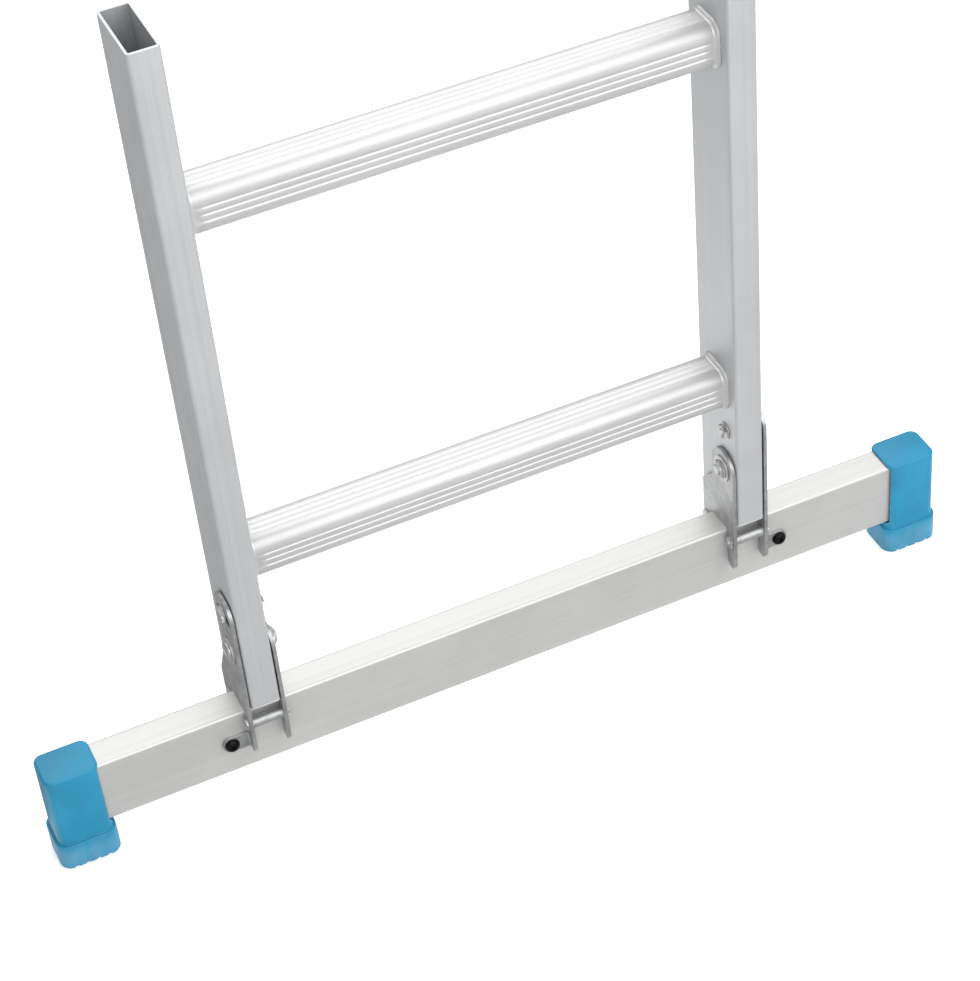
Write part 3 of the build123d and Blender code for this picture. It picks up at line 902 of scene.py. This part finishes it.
class LADDERFOOT_OT_bolts(bpy.types.Operator):
    """Model the pivot bolts, stop bolts, leg bolts and bar screws"""

    bl_idname = "ladderfoot.bolts"
    bl_label = "Bolts and screws"

    def execute(self, context):
        colours = context.scene.ladder_foot_finish
        sizes = context.scene.ladder_foot_sizes
        zinc = zinc_plate("bolt_zinc", colours.zinc_colour, roughness=0.42)
        black = zinc_plate("black_oxide", colours.black_colour, roughness=0.42)
        at = Bracket(sizes)
        radius, height = sizes.pivot_head
        seat = at.outer + sizes.pivot_washer[1]
        tip = box_of("right_pivot_bolt")[0].x
        bolt = domed_bolt("bolt", radius, height, sizes.pivot_socket, sizes.pivot_shank, seat - tip)
        left, right = spread(bolt, seat, at.pivot, True)
        fit_out(left, zinc, "stabiliser", "zinc_steel", "left_pivot_bolt")
        left.name = "left_domed_bolt"
        assemble("right_domed_bolt", bolt, [right], zinc, "stabiliser", "zinc_steel", "right_pivot_bolt")
        flats, height = sizes.stop_head
        seat = box_of("stop_washers")[1].x
        tip = at.stile - sizes.stop_washer[1] - sizes.stop_nut[1] - sizes.thread_end
        bolt = hexagon_bolt("bolt", flats, height, sizes.stop_shank, seat - tip)
        assemble("hexagon_stop_bolts", bolt, spread(bolt, seat, at.stop, True),
                 zinc, "ladder", "zinc_steel", "stop_bolts")
        flats, height = sizes.leg_head
        tip = at.inner - sizes.leg_nut[1] - sizes.thread_end
        bolt = hexagon_bolt("bolt", flats, height, sizes.leg_shank, at.outer - tip)
        pieces = [piece for leg in at.legs for piece in spread(bolt, at.outer, leg, True)]
        assemble("hexagon_leg_bolts", bolt, pieces, zinc, "stabiliser", "zinc_steel", "leg_bolts")
        radius, height = sizes.screw_head
        tip = box_of("bar_screws")[1].y
        screw = domed_bolt("screw", radius, height, sizes.screw_socket, sizes.screw_shank, tip - at.ear_front)
        pieces = on_bar(screw, at, at.ear_front, FORWARDS)
        assemble("domed_bar_screws", screw, pieces, black, "stabiliser", "black_steel", "bar_screws")
        return {"FINISHED"}


class LADDERFOOT_OT_stage(bpy.types.Operator):
    """Lay the floor and the cards, place the camera, and set the lights and the sky"""

    bl_idname = "ladderfoot.stage"
    bl_label = "Stage"
    # Name, lowest X and Y, highest X and Y.
    CARDS = (
        ("left_card", (-1.6, 0.03), (-0.15, 2.03)),
        ("right_card", (0.2, 0.03), (1.8, 2.03)),
        ("front_card", (-1.8, -2.4), (1.8, -0.035)),
    )
    CARD_UNDERSIDE, CARD_TOP = 0.2 * MM, 0.7 * MM
    # Name, place, aim, width, height, power.
    SOFTBOXES = (
        ("top_softbox", (0.3, 1.3, 2.5), (0.0, 0.0, 0.25), 2.6, 2.6, 55.0),
        ("front_softbox", (0.6, -2.1, 1.8), (0.3, -0.6, 0.0), 4.0, 3.0, 98.0),
    )
    SENSOR_WIDTH = 36.0
    # Slopes of the view at which the haze ends and at which it is full.
    HAZE_END, HAZE_FULL = 0.22, -0.02

    def execute(self, context):
        scene = context.scene
        stage = scene.ladder_foot_stage
        self.lay_floor(stage)
        self.lay_cards()
        self.place_camera(scene, stage)
        self.set_lights()
        self.set_sky(scene, stage)
        scene.view_settings.view_transform = "Standard"
        return {"FINISHED"}

    def lay_floor(self, stage):
        """White floor that glows a little."""
        bpy.ops.object.select_all(action="DESELECT")
        bpy.ops.mesh.primitive_plane_add(size=stage.floor_size)
        floor = bpy.context.object
        floor.name = "floor"
        finish = Finish("studio_floor")
        cloud = finish.noise(3.0, detail=3.0)
        paint(floor, finish.surface(
            Base_Color=finish.tint(cloud, grey(0.90), grey(0.92)), Specular_IOR_Level=0.0, Roughness=0.75,
            Emission_Color=grey(1.0), Emission_Strength=stage.floor_glow,
        ))

    def lay_cards(self):
        """Grey cards on the floor that only reflections show."""
        finish = Finish("grey_card")
        fleck = finish.noise(60.0)
        finish.surface(Base_Color=finish.tint(fleck, grey(0.36), grey(0.40)), Roughness=0.9)
        for name, low, high in self.CARDS:
            card = block(name, (*low, self.CARD_UNDERSIDE), (*high, self.CARD_TOP))
            paint(card, finish.material)
            card.visible_camera = False
            card.visible_shadow = False
            card.visible_diffuse = False

    def place_camera(self, scene, stage):
        """Camera that looks along the direction ahead."""
        ahead = Vector(stage.camera_ahead).normalized()
        up = Vector(stage.camera_up).normalized()
        across = ahead.cross(up)
        turn = Matrix((across, up, -ahead)).transposed()
        bpy.ops.object.camera_add(location=stage.camera_place, rotation=turn.to_euler())
        camera = bpy.context.object
        camera.data.sensor_fit = "HORIZONTAL"
        camera.data.sensor_width = self.SENSOR_WIDTH
        camera.data.lens = stage.lens
        scene.camera = camera

    def set_lights(self):
        """Softboxes that the camera doesn't see."""
        for name, place, aim, wide, high, power in self.SOFTBOXES:
            bpy.ops.object.light_add(type="AREA", location=place)
            light = bpy.context.object
            light.name = name
            light.data.shape = "RECTANGLE"
            light.data.size = wide
            light.data.size_y = high
            light.data.energy = power
            light.visible_camera = False
            light.rotation_euler = (Vector(aim) - Vector(place)).to_track_quat("-Z", "Y").to_euler()

    def set_sky(self, scene, stage):
        """White sky that is brightest at the horizon."""
        studio = Finish("studio", bpy.data.worlds)
        rise = studio.node("SeparateXYZ", {"Vector": studio.node("TexCoord", {}, "Generated")}, "Z")
        haze = studio.step(rise, self.HAZE_END, self.HAZE_FULL)
        strength = stage.sky_light + stage.haze_light * haze
        sky = studio.node("Background", {"Color": grey(1.0), "Strength": strength})
        studio.node("OutputWorld", {"Surface": sky})
        scene.world = studio.material


class LADDERFOOT_PT_panel(bpy.types.Panel):
    """Sidebar panel with the colours, the sizes, the stage and the steps"""

    bl_idname = "LADDERFOOT_PT_panel"
    bl_label = "Ladder foot"
    bl_space_type = "VIEW_3D"
    bl_region_type = "UI"
    bl_category = "Ladder foot"

    def draw(self, context):
        scene = context.scene
        for group in (scene.ladder_foot_finish, scene.ladder_foot_sizes, scene.ladder_foot_stage):
            box = self.layout.box()
            for name in group.__annotations__:
                box.prop(group, name)
        for step in STEPS:
            self.layout.operator(step.bl_idname)


STEPS = (
    LADDERFOOT_OT_extrusions, LADDERFOOT_OT_rungs, LADDERFOOT_OT_feet, LADDERFOOT_OT_brackets,
    LADDERFOOT_OT_washers, LADDERFOOT_OT_nuts, LADDERFOOT_OT_bolts, LADDERFOOT_OT_stage,
)
CLASSES = (FinishSettings, SizeSettings, StageSettings, *STEPS, LADDERFOOT_PT_panel)


def register():
    for item in CLASSES:
        bpy.utils.register_class(item)
    bpy.types.Scene.ladder_foot_finish = PointerProperty(type=FinishSettings)
    bpy.types.Scene.ladder_foot_sizes = PointerProperty(type=SizeSettings)
    bpy.types.Scene.ladder_foot_stage = PointerProperty(type=StageSettings)


def unregister():
    del bpy.types.Scene.ladder_foot_stage
    del bpy.types.Scene.ladder_foot_sizes
    del bpy.types.Scene.ladder_foot_finish
    for item in reversed(CLASSES):
        bpy.utils.unregister_class(item)


def main():
    register()
    bpy.ops.ladderfoot.extrusions()
    bpy.ops.ladderfoot.rungs()
    bpy.ops.ladderfoot.feet()
    bpy.ops.ladderfoot.brackets()
    bpy.ops.ladderfoot.washers()
    bpy.ops.ladderfoot.nuts()
    bpy.ops.ladderfoot.bolts()
    bpy.ops.ladderfoot.stage()


if __name__ == "__main__":
    main()
